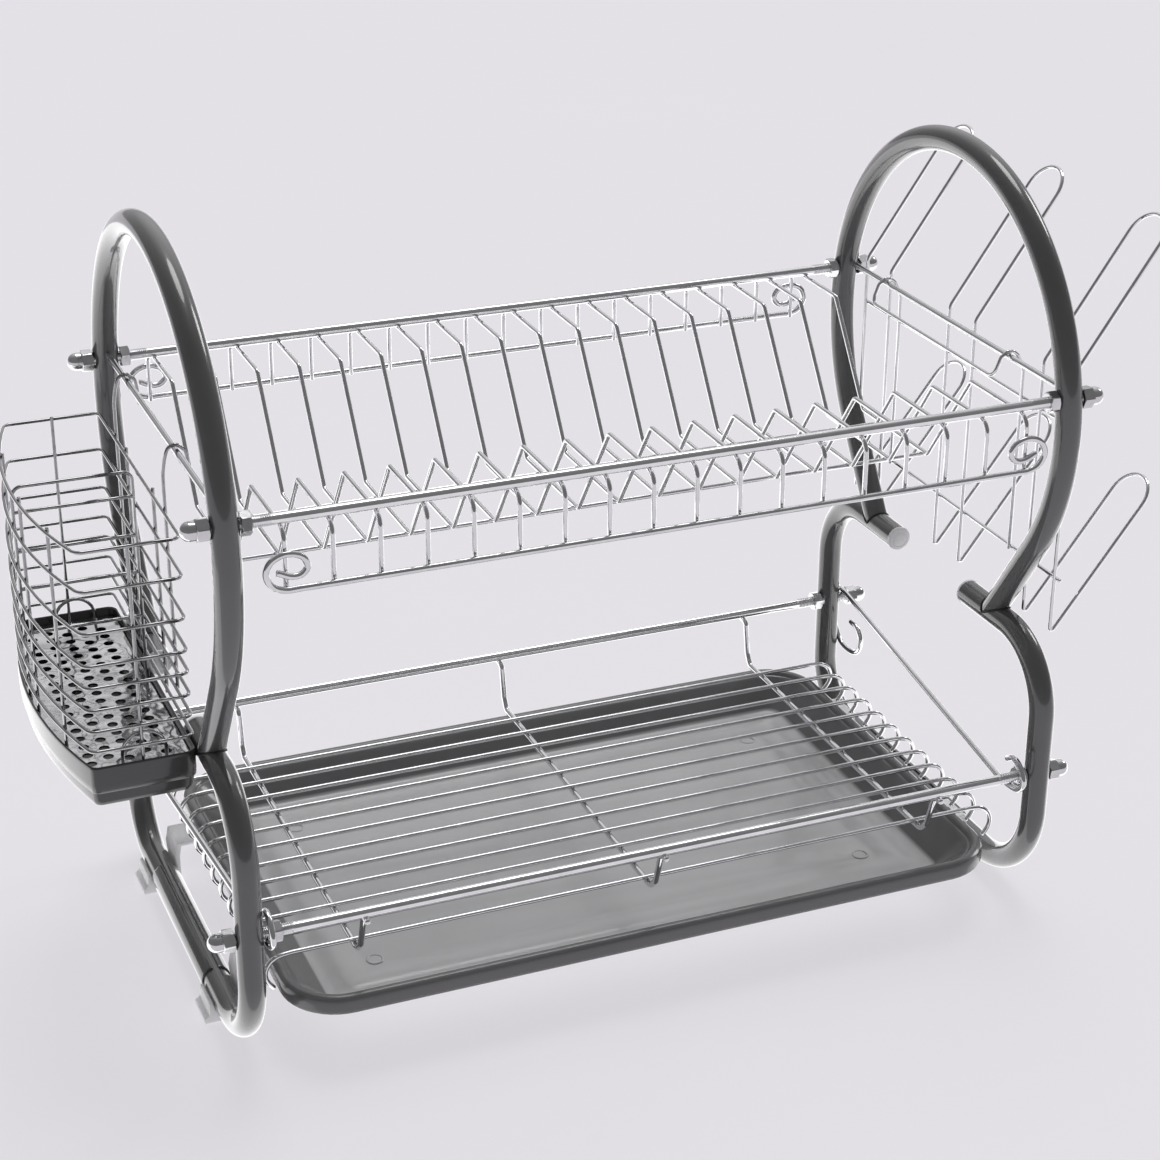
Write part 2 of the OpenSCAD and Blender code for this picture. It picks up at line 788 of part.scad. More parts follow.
// hanger: a link wire inside the side bar, two hooks over it, two uprights down to the lower rail
module holder_hanger() {
    hook_z = bar_z + bar_d / 2 + holder_d / 2 + 0.3;
    x = frame_x;
    color([0.8, 0.8, 0.8])
    wire([
        [holder_x, -62, 186], [holder_x, -62, bar_z - 8], [x + 4.6, -62, bar_z + 0.6],
        [x + 1.8, -62, hook_z - 0.4], [x - 1.6, -62, hook_z - 0.2], [x - 5, -62, bar_z + 0.4],
        [x - 8.6, -62, bar_z - 8], [x - 9, -59, bar_z - 10],
        [x - 9, 66, bar_z - 10], [x - 8.6, 69, bar_z - 8],
        [x - 5, 69, bar_z + 0.4], [x - 1.6, 69, hook_z - 0.2], [x + 1.8, 69, hook_z - 0.4],
        [x + 4.6, 69, bar_z + 0.6], [holder_x, 69, bar_z - 8], [holder_x, 69, 186]
    ], holder_d / 2);
}

hoop_left();
hoop_right();
base_frame_left();
base_frame_right();
end_caps();
base_sleeve_left();
base_sleeve_right();
foot_clips();
rod_upper_front();
rod_upper_back();
rod_lower_front();
rod_lower_back();
hex_nuts();
acorn_nuts();
side_bar_left();
side_bar_right();
plate_rungs();
plate_rail_front();
plate_rail_back();
plate_trough_wires();
shelf_wires();
shelf_cross_wires();
guard_wire_left();
guard_wire_right();
drip_tray();
basket_rings();
basket_hooks();
basket_uprights();
basket_divider();
basket_arches();
drainer_plate();
basket_drip_cup();
holder_loops();
holder_rails();
holder_hanger();
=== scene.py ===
import bpy
import math
import random
from mathutils import Matrix, Vector


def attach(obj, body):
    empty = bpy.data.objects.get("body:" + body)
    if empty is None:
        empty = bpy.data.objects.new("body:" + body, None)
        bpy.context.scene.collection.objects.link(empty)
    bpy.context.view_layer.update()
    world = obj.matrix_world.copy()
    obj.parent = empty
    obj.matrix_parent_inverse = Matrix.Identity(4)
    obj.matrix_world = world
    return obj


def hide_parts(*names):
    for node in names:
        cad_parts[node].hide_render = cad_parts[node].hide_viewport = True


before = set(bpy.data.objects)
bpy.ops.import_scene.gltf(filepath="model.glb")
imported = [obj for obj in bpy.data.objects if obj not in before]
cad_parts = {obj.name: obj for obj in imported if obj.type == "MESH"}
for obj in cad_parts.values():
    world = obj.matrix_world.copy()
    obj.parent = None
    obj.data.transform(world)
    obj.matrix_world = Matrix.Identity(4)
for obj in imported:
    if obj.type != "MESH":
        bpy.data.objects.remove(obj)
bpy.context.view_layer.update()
random.seed(7)
MM = 0.001  # every length below is in millimetres

# ---------------------------------------------------------------- materials


def principled(name):
    m = bpy.data.materials.new(name)
    m.use_nodes = True
    return m, m.node_tree, m.node_tree.nodes["Principled BSDF"]


def link(t, a, b):
    t.links.new(a, b)


def noise(t, scale, detail=4.0, rough=0.5, coords=None):
    n = t.nodes.new("ShaderNodeTexNoise")
    n.inputs["Scale"].default_value = scale
    n.inputs["Detail"].default_value = detail
    n.inputs["Roughness"].default_value = rough
    if coords is None:
        coords = t.nodes.new("ShaderNodeTexCoord").outputs["Object"]
    link(t, coords, n.inputs["Vector"])
    return n


def ramp(t, fac, lo, hi, p0=0.3, p1=0.7):
    r = t.nodes.new("ShaderNodeValToRGB")
    r.color_ramp.elements[0].position = p0
    r.color_ramp.elements[1].position = p1
    r.color_ramp.elements[0].color = (*lo, 1)
    r.color_ramp.elements[1].color = (*hi, 1)
    link(t, fac, r.inputs["Fac"])
    return r


def vary(t, fac, lo, hi):
    m = t.nodes.new("ShaderNodeMapRange")
    m.inputs["To Min"].default_value = lo
    m.inputs["To Max"].default_value = hi
    link(t, fac, m.inputs["Value"])
    return m


def bump(t, height, strength, distance, base=None):
    b = t.nodes.new("ShaderNodeBump")
    b.inputs["Strength"].default_value = strength
    b.inputs["Distance"].default_value = distance
    link(t, height, b.inputs["Height"])
    if base is not None:
        link(t, base, b.inputs["Normal"])
    return b


def metal(name, lo, hi, r_lo, r_hi, scale=60.0, metallic=1.0, coat=0.0):
    """Softly varied colour and roughness with a fine bump. metallic 0 and coat 1 give a gloss coat."""
    m, t, p = principled(name)
    n = noise(t, scale)
    fine = noise(t, scale * 12, 2.0)
    link(t, ramp(t, n.outputs["Fac"], lo, hi).outputs["Color"], p.inputs["Base Color"])
    link(t, vary(t, n.outputs["Fac"], r_lo, r_hi).outputs["Result"], p.inputs["Roughness"])
    link(t, bump(t, fine.outputs["Fac"], 0.03, 0.0002).outputs["Normal"], p.inputs["Normal"])
    p.inputs["Metallic"].default_value = metallic
    p.inputs["Coat Weight"].default_value = coat
    p.inputs["Coat Roughness"].default_value = 0.05
    return m


MAT_TUBE = metal("tube_grey_gloss", (0.088, 0.088, 0.089), (0.102, 0.102, 0.103), 0.2, 0.28,
                 30.0, metallic=0.0, coat=1.0)
MAT_SLEEVE = metal("sleeve_dark", (0.06, 0.06, 0.061), (0.072, 0.072, 0.073), 0.2, 0.28,
                   40.0, metallic=0.0, coat=1.0)
MAT_WIRE = metal("wire_chrome", (0.70, 0.70, 0.71), (0.80, 0.80, 0.81), 0.05, 0.11, 90.0)
# the basket is the same chrome as the other wires; its darker base colour is painted shade standing in for the
# dark surroundings it reflects
MAT_BASKET_PAINTED_SHADE = metal("basket_chrome_painted_shade", (0.34, 0.34, 0.345), (0.46, 0.46, 0.465), 0.06, 0.13, 90.0)
MAT_ROD = metal("rod_chrome", (0.80, 0.80, 0.81), (0.90, 0.90, 0.91), 0.05, 0.11, 80.0)
MAT_NUT = metal("nut_chrome", (0.60, 0.60, 0.61), (0.75, 0.75, 0.76), 0.10, 0.20, 120.0)
MAT_SEAM = metal("seam_dark", (0.012, 0.012, 0.013), (0.03, 0.03, 0.032), 0.4, 0.6, 80.0, metallic=0.3)


def plastic(name, lo, hi, r_lo, r_hi, scale, grain, coat=0.0):
    """Moulded plastic: varied colour, and a fine grain in roughness and bump."""
    m, t, p = principled(name)
    n = noise(t, scale)
    g = noise(t, scale * 30, 3.0, 0.6)
    link(t, ramp(t, n.outputs["Fac"], lo, hi).outputs["Color"], p.inputs["Base Color"])
    link(t, vary(t, g.outputs["Fac"], r_lo, r_hi).outputs["Result"], p.inputs["Roughness"])
    link(t, bump(t, g.outputs["Fac"], grain, 0.0003).outputs["Normal"], p.inputs["Normal"])
    p.inputs["Coat Weight"].default_value = coat
    p.inputs["Coat Roughness"].default_value = 0.08
    return m


MAT_CAP = plastic("cap_grey", (0.90, 0.90, 0.905), (0.94, 0.94, 0.945), 0.3, 0.5, 60.0, 0.08)
MAT_CUP = plastic("cup_dark", (0.03, 0.03, 0.031), (0.037, 0.037, 0.038), 0.18, 0.24, 40.0, 0.012, 0.8)
MAT_CLIP = plastic("clip_white", (0.93, 0.93, 0.925), (0.97, 0.97, 0.965), 0.25, 0.4, 50.0, 0.05, 0.2)
clip_inputs = MAT_CLIP.node_tree.nodes["Principled BSDF"].inputs
clip_inputs["Subsurface Weight"].default_value = 0.6
clip_inputs["Subsurface Radius"].default_value = (1.0, 1.0, 1.0)
clip_inputs["Subsurface Scale"].default_value = 0.008


def tray_material():
    """Grey moulded tray: darker glossy rim, lighter floor, faint soft variation in tone."""
    m, t, p = principled("tray_grey")
    coord = t.nodes.new("ShaderNodeTexCoord").outputs["Object"]
    sep = t.nodes.new("ShaderNodeSeparateXYZ")
    link(t, coord, sep.inputs[0])
    height = t.nodes.new("ShaderNodeMapRange")
    height.inputs["From Min"].default_value = 0.0208
    height.inputs["From Max"].default_value = 0.0222
    link(t, sep.outputs["Z"], height.inputs["Value"])
    n = noise(t, 14.0)
    floor_c = ramp(t, n.outputs["Fac"], (0.60, 0.60, 0.605), (0.65, 0.65, 0.655))
    rim_c = ramp(t, n.outputs["Fac"], (0.135, 0.135, 0.138), (0.155, 0.155, 0.158))
    mix = t.nodes.new("ShaderNodeMix")
    mix.data_type = "RGBA"  # its colour sockets are inputs 6 and 7 and output 2
    link(t, height.outputs["Result"], mix.inputs["Factor"])
    link(t, floor_c.outputs["Color"], mix.inputs[6])
    link(t, rim_c.outputs["Color"], mix.inputs[7])
    link(t, mix.outputs[2], p.inputs["Base Color"])
    g = noise(t, 500.0, 3.0, 0.6)
    link(t, vary(t, g.outputs["Fac"], 0.20, 0.30).outputs["Result"], p.inputs["Roughness"])
    link(t, bump(t, g.outputs["Fac"], 0.04, 0.0003).outputs["Normal"], p.inputs["Normal"])
    p.inputs["Coat Weight"].default_value = 0.4
    p.inputs["Coat Roughness"].default_value = 0.08
    return m


MAT_TRAY = tray_material()
MAT_PLATE = metal("plate_steel", (0.50, 0.50, 0.505), (0.74, 0.74, 0.75), 0.06, 0.14, 70.0)
plate_tree = MAT_PLATE.node_tree
plate_bsdf = plate_tree.nodes["Principled BSDF"]
# thin sheet is never quite flat: long soft waves break up what it reflects
waves = noise(plate_tree, 38.0, 2.0)
fine_bump = plate_bsdf.inputs["Normal"].links[0].from_socket
wavy = bump(plate_tree, waves.outputs["Fac"], 0.6, 0.006, fine_bump)
link(plate_tree, wavy.outputs["Normal"], plate_bsdf.inputs["Normal"])

# ---------------------------------------------------------------- mesh tools


def finish_piece(name, verts, faces, mat, body, nodes=(), smooth=40.0):
    me = bpy.data.meshes.new(name)
    me.from_pydata([Vector(v) * MM for v in verts], [], faces)
    me.validate()
    me.update()
    ob = bpy.data.objects.new(name, me)
    bpy.context.scene.collection.objects.link(ob)
    me.materials.append(mat)
    if smooth:
        me.shade_smooth()
        me.set_sharp_from_angle(angle=math.radians(smooth))
    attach(ob, body)
    if nodes:
        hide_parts(*nodes)
    return ob


def fillet(pts, radii, step=9.0, closed=False):
    """Replaces each corner of a path by an arc. radii is one number or one for each point."""
    n = len(pts)
    pts = [Vector(p) for p in pts]
    if not isinstance(radii, (list, tuple)):
        radii = [radii] * n
    out = []
    for i in range(n):
        p = pts[i]
        if not closed and i in (0, n - 1):
            out.append(p)
            continue
        a, b = pts[i - 1] - p, pts[(i + 1) % n] - p
        la, lb = a.length, b.length
        a, b = a / la, b / lb
        ang = a.angle(b, math.pi)
        turn = math.pi - ang
        if turn < 1e-3 or radii[i] <= 0:
            out.append(p)
            continue
        back = min(radii[i] * math.tan(turn / 2), la * 0.49, lb * 0.49)
        r = back / math.tan(turn / 2)
        centre = p + (a + b).normalized() * (r / math.cos(turn / 2))
        s, e = p + a * back - centre, p + b * back - centre
        k = max(2, int(math.ceil(math.degrees(turn) / step)))
        for j in range(k + 1):
            f = j / k
            out.append(centre + (s * math.sin((1 - f) * turn) + e * math.sin(f * turn)) / math.sin(turn)
                       if turn < math.pi - 1e-3 else centre + s.lerp(e, f))
    clean = [out[0]]
    for q in out[1:]:
        if (q - clean[-1]).length > 1e-4:
            clean.append(q)
    if closed and (clean[0] - clean[-1]).length < 1e-4:
        clean.pop()
    return clean


def smooth_path(pts, per=6):
    """A Catmull-Rom curve through the points."""
    pts = [Vector(p) for p in pts]
    ext = [pts[0] * 2 - pts[1]] + pts + [pts[-1] * 2 - pts[-2]]
    out = []
    for i in range(1, len(ext) - 2):
        p0, p1, p2, p3 = ext[i - 1:i + 3]
        for j in range(per):
            t = j / per
            out.append(0.5 * ((2 * p1) + (p2 - p0) * t + (2 * p0 - 5 * p1 + 4 * p2 - p3) * t * t
                              + (3 * p1 - 3 * p2 + p3 - p0) * t ** 3))
    out.append(pts[-1])
    return out


def sweep(path, r, sides=14, closed=False, domed=True):
    """Vertices and faces of a round tube along a path, with rounded ends."""
    n = len(path)
    tang = []
    for i in range(n):
        if closed:
            d = path[(i + 1) % n] - path[i - 1]
        else:
            d = path[min(i + 1, n - 1)] - path[max(i - 1, 0)]
        tang.append(d.normalized())
    ref = Vector((0, 0, 1)) if abs(tang[0].z) < 0.9 else Vector((1, 0, 0))
    e1 = ref.cross(tang[0]).normalized()
    frames = [e1]
    for i in range(1, n):
        q = tang[i - 1].rotation_difference(tang[i])
        e1 = q @ e1
        e1 = (e1 - tang[i] * e1.dot(tang[i])).normalized()
        frames.append(e1)
    twist = 0.0
    if closed:
        q = tang[-1].rotation_difference(tang[0])
        last = q @ frames[-1]
        twist = math.atan2(last.cross(frames[0]).dot(tang[0]), last.dot(frames[0]))
    verts, faces = [], []
    rings = []

    def ring(c, u, e, rad, rot=0.0):
        f = u.cross(e)
        rings.append(len(verts))
        for k in range(sides):
            a = 2 * math.pi * k / sides + rot
            verts.append(c + e * (rad * math.cos(a)) + f * (rad * math.sin(a)))

    if not closed and domed:
        for a in (15, 45, 72):
            s = math.radians(a)
            ring(path[0] - tang[0] * (r * 0.5 * math.cos(s)), tang[0], frames[0], r * math.sin(s))
    for i in range(n):
        ring(path[i], tang[i], frames[i], r, twist * i / n)
    if not closed and domed:
        for a in (72, 45, 15):
            s = math.radians(a)
            ring(path[-1] + tang[-1] * (r * 0.5 * math.cos(s)), tang[-1], frames[-1], r * math.sin(s))
    m = len(rings)
    for j in range(m if closed else m - 1):
        a, b = rings[j], rings[(j + 1) % m]
        for k in range(sides):
            k2 = (k + 1) % sides
            faces.append((a + k, a + k2, b + k2, b + k))
    if not closed:
        faces.append(tuple(range(rings[0], rings[0] + sides))[::-1])
        faces.append(tuple(range(rings[-1], rings[-1] + sides)))
    return verts, faces


def join(parts):
    verts, faces = [], []
    for v, f in parts:
        o = len(verts)
        verts += list(v)
        faces += [tuple(i + o for i in q) for q in f]
    return verts, faces


def wires(name, paths, r, mat, body, nodes, sides=14, closed=False, domed=True):
    v, f = join([sweep(p, r, sides, closed, domed) for p in paths])
    return finish_piece(name, v, f, mat, body, nodes, 50.0)


def mirror_x(v):
    return Vector((-v[0], v[1], v[2]))


def lathe(profile, origin, axis, sides=48, radius=None):
    """Turns (distance along axis, radius) pairs about an axis.

    radius, if given, reshapes each ring: radius(angle, distance, radius)."""
    axis = Vector(axis).normalized()
    ref = Vector((0, 0, 1)) if abs(axis.z) < 0.9 else Vector((0, 1, 0))
    e1 = ref.cross(axis).normalized()
    e2 = axis.cross(e1)
    verts, faces = [], []
    for t, r in profile:
        for k in range(sides):
            a = 2 * math.pi * k / sides
            rr = radius(a, t, r) if radius else r
            verts.append(Vector(origin) + axis * t + e1 * (rr * math.cos(a)) + e2 * (rr * math.sin(a)))
    for j in range(len(profile) - 1):
        for k in range(sides):
            k2 = (k + 1) % sides
            faces.append((j * sides + k, j * sides + k2, (j + 1) * sides + k2, (j + 1) * sides + k))
    faces.append(tuple(range(sides))[::-1])
    faces.append(tuple(range((len(profile) - 1) * sides, len(profile) * sides)))
    return verts, faces


def skin(loops, close_bottom=True, close_top=False):
    n = len(loops[0])
    verts = [Vector(p) for l in loops for p in l]
    faces = []
    for j in range(len(loops) - 1):
        for k in range(n):
            k2 = (k + 1) % n
            faces.append((j * n + k, j * n + k2, (j + 1) * n + k2, (j + 1) * n + k))
    if close_bottom:
        faces.append(tuple(range(n))[::-1])
    if close_top:
        faces.append(tuple(range((len(loops) - 1) * n, len(loops) * n)))
    return verts, faces


# ---------------------------------------------------------------- side frames

FX, TR = 215.0, 6.75
HOOP_R, HOOP_Z, DROP = 120.5, 271.0, math.radians(34.2)
BASE_Y, BASE_Z, TOP_Z = 120.0, 10.5, 152.0
TIP_Y = 39.0
ROD_Y, LOW_Z, UP_Z = 118.0, 80.0, 291.0
ROD_R, THREAD_R, THREAD_ROOT_R = 2.65, 2.95, 2.55
RUNG_R, RAIL_R, BAR_R, BASKET_R, HOLDER_R = 1.2, 1.6, 1.7, 0.9, 1.0
BAR_Z = 295
WELD = 0.1  # how far welded wires run into each other
NUT_GAP, NUT_H, NUT_FLATS = 0.25, 5.0, 10.0
HOOK_GAP = 0.3  # between a hook and the side bar it hangs on

foot_y = HOOP_R * math.cos(DROP) - (HOOP_Z - HOOP_R * math.sin(DROP) - TOP_Z) * math.tan(DROP)


def hoop_path(x):
    p = [Vector((x, foot_y, TOP_Z))]
    for k in range(121):
        a = -DROP + k * (math.pi + 2 * DROP) / 120
        p.append(Vector((x, HOOP_R * math.cos(a), HOOP_Z + HOOP_R * math.sin(a))))
    p.append(Vector((x, -foot_y, TOP_Z)))
    return p


def base_path(x):
    return fillet(
        [(x, TIP_Y, TOP_Z), (x, BASE_Y, TOP_Z), (x, BASE_Y, BASE_Z), (x, -BASE_Y, BASE_Z),
         (x, -BASE_Y, TOP_Z), (x, -TIP_Y, TOP_Z)],
        [0, 50, 32, 48, 50, 0], 3.0)


def seam_path(x, s):
    """Where a hoop leg meets the top of the base tube."""
    d = Vector((0, -s * math.sin(DROP), -math.cos(DROP)))
    e1 = Vector((1, 0, 0))
    e2 = d.cross(e1)
    c = Vector((x, s * foot_y, TOP_Z))
    out = []
    for k in range(48):
        a = 2 * math.pi * k / 48
        o = e1 * (TR * 0.998 * math.cos(a)) + e2 * (TR * 0.998 * math.sin(a))
        # distance back along the leg to the surface of the base tube
        A = d.z ** 2
        B = 2 * o.z * d.z
        C = o.x ** 2 + o.z ** 2 - TR ** 2
        disc = max(B * B - 4 * A * C, 0.0)
        t = (-B - math.sqrt(disc)) / (2 * A)
        out.append(c + o + d * t)
    return out


for side, x in (("left", -FX), ("right", FX)):
    wires("hoop_tube_" + side, [hoop_path(x)], TR, MAT_TUBE, "rack",
          ["hoop_" + side], 48, domed=False)
    wires("base_tube_" + side, [base_path(x)], TR, MAT_TUBE, "rack",
          ["base_frame_" + side], 48, domed=False)
    wires("hoop_seam_" + side, [seam_path(x, -1), seam_path(x, 1)], 0.75, MAT_SEAM, "rack",
          [], 8, closed=True)

CAP_PROFILE = [(8.0, 5.4), (1.6, 5.4), (1.5, TR - 0.35), (1.0, TR - 0.35), (0.9, TR + 0.05),
               (0.2, TR + 0.15), (-0.5, TR + 0.05), (-0.95, TR - 0.5), (-1.15, TR - 1.2),
               (-1.3, TR - 1.9), (-1.05, TR - 2.2), (-1.35, TR - 2.7), (-1.65, 3.0), (-1.8, 1.5),
               (-1.85, 0.4)]
cap_verts, cap_faces = join([lathe(CAP_PROFILE, (x, s * TIP_Y, TOP_Z), (0, s, 0), 48)
                             for x in (-FX, FX) for s in (-1, 1)])
finish_piece("tube_end_caps", cap_verts, cap_faces, MAT_CAP, "rack", ["end_caps"], 35)

# a sleeve is a 336 degree arc round the bottom run, so its 24 degree split is on top
SLEEVE_FROM, SLEEVE_ARC, SLEEVE_STEPS = 102, 336, 36
SLEEVE_IN, SLEEVE_OUT, SLEEVE_LIP = 0.05, 0.95, 0.35  # beyond the tube's surface
SLEEVE_ENDS = [(-44, -0.25), (-43.6, -0.08), (-43, 0), (63, 0), (63.6, -0.08), (64, -0.25)]
sleeve_angles = [math.radians(SLEEVE_FROM + i * (SLEEVE_ARC / SLEEVE_STEPS))
                 for i in range(SLEEVE_STEPS + 1)]
prof = [(math.cos(a), math.sin(a)) for a in sleeve_angles]
m = len(prof)
for side, x in (("left", -FX), ("right", FX)):
    verts, faces = [], []
    for y, g in SLEEVE_ENDS:
        for i, (cx, cz) in enumerate(prof):
            lip = SLEEVE_LIP if i in (1, 2, m - 3, m - 2) else 0.0
            r = TR + SLEEVE_OUT + g + lip
            verts.append((x + cx * r, y, BASE_Z + cz * r))
        for cx, cz in prof:
            verts.append((x + cx * (TR + SLEEVE_IN), y, BASE_Z + cz * (TR + SLEEVE_IN)))
    for j in range(len(SLEEVE_ENDS) - 1):
        a, b = j * 2 * m, (j + 1) * 2 * m
        for i in range(m - 1):
            faces.append((a + i, a + i + 1, b + i + 1, b + i))
            faces.append((a + m + i + 1, a + m + i, b + m + i, b + m + i + 1))
        faces.append((a, b, b + m, a + m))
        faces.append((a + m - 1, a + 2 * m - 1, b + 2 * m - 1, b + m - 1))
    for a in (0, (len(SLEEVE_ENDS) - 1) * 2 * m):
        for i in range(m - 1):
            q = (a + i, a + m + i, a + m + i + 1, a + i + 1)
            faces.append(q if a == 0 else q[::-1])
    finish_piece("split_sleeve_" + side, verts, faces, MAT_SLEEVE, "rack",
                 ["base_sleeve_" + side], 40)

LEDGE = 28.1  # height of the ledges the tray rests on
CLIP_SPANS = ((-66, -46), (66, 87))
CLIP_PROFILE = [(-10, 0.05), (12, 0.05), (12.2, 2.8), (9.6, 4.8), (9.3, 10.2), (8.9, 11.1),
                (8.1, 11.5), (7.3, 11.2), (6.9, 9.6), (6.2, 7.2), (4.4, 5.0), (2.2, 3.9), (0, 3.6),
                (-2.2, 3.9), (-4.4, 5.0), (-6.2, 7.2), (-6.9, 10), (-6.6, 14), (-6, 20),
                (-7.6, LEDGE), (-27, LEDGE), (-26, LEDGE - 2.2), (-10.2, LEDGE - 2.2), (-9.2, 20),
                (-9.2, 5), (-10, 3)]
clips = []
for m in (1, -1):
    for span in CLIP_SPANS:
        loops = [[(m * (FX + px), y, pz) for px, pz in CLIP_PROFILE] for y in span]
        v, f = skin(loops, True, True)
        if m > 0:
            f = [q[::-1] for q in f]
        clips.append((v, f))
v, f = join(clips)
ob = finish_piece("foot_clip_set", v, f, MAT_CLIP, "rack", ["foot_clips"], 60)
bevel = ob.modifiers.new("soft_edges", "BEVEL")
bevel.width, bevel.segments = 0.6 * MM, 3
bevel.limit_method, bevel.angle_limit = "ANGLE", math.radians(35)

# ---------------------------------------------------------------- rods and nuts


def threaded_rod(y, z, reach):
    """A plain rod whose two ends carry a real spiral thread."""
    sides, pitch, plain = 24, 1.0, 193.0
    parts = [lathe([(-plain, ROD_R), (plain, ROD_R)], (0, y, z), (1, 0, 0), 32)]
    for s in (-1, 1):
        verts, faces = [], []
        steps = int((reach - plain) / (pitch / 8))
        for i in range(steps + 1):
            t = plain + i * (reach - plain) / steps
            ease = min(1.0, i / 8.0, (steps - i) / 8.0)
            for k in range(sides):
                a = 2 * math.pi * k / sides
                ph = (t / pitch - s * a / (2 * math.pi)) % 1.0
                tri = 1 - abs(2 * ph - 1)
                r = THREAD_ROOT_R + (THREAD_R - THREAD_ROOT_R) * min(1.0, tri * 1.3) * ease
                verts.append((s * t, y + r * math.cos(a), z + r * math.sin(a)))
        for i in range(steps):
            for k in range(sides):
                k2 = (k + 1) % sides
                q = (i * sides + k, i * sides + k2, (i + 1) * sides + k2, (i + 1) * sides + k)
                faces.append(q if s > 0 else q[::-1])
        end = tuple(range(steps * sides, (steps + 1) * sides))
        faces.append(end if s > 0 else end[::-1])
        parts.append((verts, faces))
    return join(parts)


for name, y, z, reach in (("upper_front", -ROD_Y, UP_Z, 231), ("upper_back", ROD_Y, UP_Z, 231),
                          ("lower_front", -ROD_Y, LOW_Z, 231), ("lower_back", ROD_Y, LOW_Z, 234.5)):
    v, f = threaded_rod(y, z, reach)
    finish_piece("through_rod_" + name, v, f, MAT_ROD, "rack", ["rod_" + name], 60)


def hexed(spin, h):
    """Gives lathe() the outline of a hexagon turned by spin, with its corners chamfered at both ends."""
    corner = NUT_FLATS / 2 / math.cos(math.pi / 6)

    def radius(a, t, r):
        if r < 4.0:
            return r
        b = (a + spin) % (math.pi / 3) - math.pi / 6
        flat_r = NUT_FLATS / 2 / math.cos(b)
        edge = min(t, h - t)
        chamfer = NUT_FLATS / 2 * 0.97 + max(edge, 0) / math.tan(math.radians(30))
        return min(flat_r, chamfer, corner)
    return radius


def nut_profile(h):
    return [(0.05, 3.0), (0.0, 3.3), (0.0, 4.85), (0.12, 5.5), (0.3, 5.6), (0.5, 5.7), (0.6, 5.77),
            (h - 0.6, 5.77), (h - 0.5, 5.7), (h - 0.3, 5.6), (h - 0.12, 5.5), (h, 4.85), (h, 3.3),
            (h - 0.05, 3.0)]


ACORN_HEX_H = h = 6.0
ACORN_HEX = [(0.0, 3.3), (0.0, 4.85), (0.12, 5.5), (0.3, 5.6), (0.5, 5.7), (0.6, 5.77),
             (h - 0.6, 5.77), (h - 0.3, 5.6), (h - 0.1, 5.45), (h, 4.75)]
dome = [(h + 0.05, 3.95)]
dome += [(8.3 + 3.95 * math.sin(math.radians(a)) * 1.18, 3.95 * math.cos(math.radians(a)))
         for a in range(0, 90, 10)]
dome += [(12.97, 0.3)]
ACORN_DOME = [(t, r * 1.17) for t, r in dome]
nuts, acorns = [], []
spin = 0.2
for y in (-ROD_Y, ROD_Y):
    for z in (LOW_Z, UP_Z):
        for s in (-1, 1):
            spin += 0.37
            ax = (s, 0, 0)
            low = z == LOW_Z
            # the side wires pass between some nuts and the frame, which moves those nuts away from it
            room_in = 3.8 if s < 0 and y < 0 and low else 0.0
            room_out = 3.7 if y > 0 and low else 0.0
            start = FX - TR - NUT_GAP - NUT_H - room_in
            nuts.append(lathe(nut_profile(NUT_H), (s * start, y, z), ax, 72, hexed(spin, NUT_H)))
            seat = (s * (FX + TR + NUT_GAP + room_out), y, z)
            acorns.append(lathe(ACORN_HEX, seat, ax, 72, hexed(spin + 0.5, ACORN_HEX_H)))
            acorns.append(lathe(ACORN_DOME, seat, ax, 40))
v, f = join(nuts)
finish_piece("lock_nuts", v, f, MAT_NUT, "rack", ["hex_nuts"], 28)
v, f = join(acorns)
finish_piece("dome_nuts", v, f, MAT_NUT, "rack", ["acorn_nuts"], 28)

# ---------------------------------------------------------------- side bars

for side, x in (("left", -FX), ("right", FX)):
    bar = [Vector((x, y, BAR_Z)) for y in (-111.2, -100, 100, 111.2)]
    wires("hoop_bar_" + side, [bar], BAR_R, MAT_WIRE, "rack", ["side_bar_" + side], 20)

# ---------------------------------------------------------------- plate rack

PITCH, X0 = 22.28, -8.5 * 22.28
RUNG_TOP, RUNG_LOW, RAIL_Z = UP_Z - ROD_R - RUNG_R + WELD, UP_Z - 58.1, UP_Z - 32
RAIL_F, RAIL_B = -125.2, 138.8
RUNG_SEAT = 2.65  # rail and rung radii, less a weld of 0.15
RUNG_F, RUNG_B = RAIL_F + RUNG_SEAT, RAIL_B - RUNG_SEAT
paths = []
for i in range(18):
    x = X0 + i * PITCH
    j = [random.uniform(-0.25, 0.25) for _ in range(4)]  # bends are never quite alike
    paths.append(fillet(
        [(x, RUNG_B, RAIL_Z - 1), (x, RUNG_B, RUNG_TOP), (x, 81.3 + j[0], RUNG_TOP),
         (x, 42.5 + j[1], RUNG_LOW), (x, -29.4 + j[2], RUNG_LOW), (x, -68.3 + j[3], RUNG_TOP),
         (x, RUNG_F, RUNG_TOP), (x, RUNG_F, RAIL_Z - 1)],
        [0, 7, 3.5, 3.5, 3.5, 3.5, 7, 0]))
wires("plate_rung_set", paths, RUNG_R, MAT_WIRE, "rack", ["plate_rungs"], 12)


def rail_path(y, z):
    """Along the front or back of the plate rack, with a scroll at each end."""
    half = [(193.9, y, z + 9), (188, y, z + 6.4), (183, y, z + 6.6), (179.9, y, z + 10.4),
            (182.8, y, z + 15.6), (190, y, z + 17.4), (196.6, y, z + 14.6), (199.2, y, z + 8.6),
            (196.2, y, z + 2.6), (190.5, y, z + 0.1), (184, y, z)]
    right = smooth_path(half, 7)
    left = [mirror_x(p) for p in right]
    return left + right[::-1]


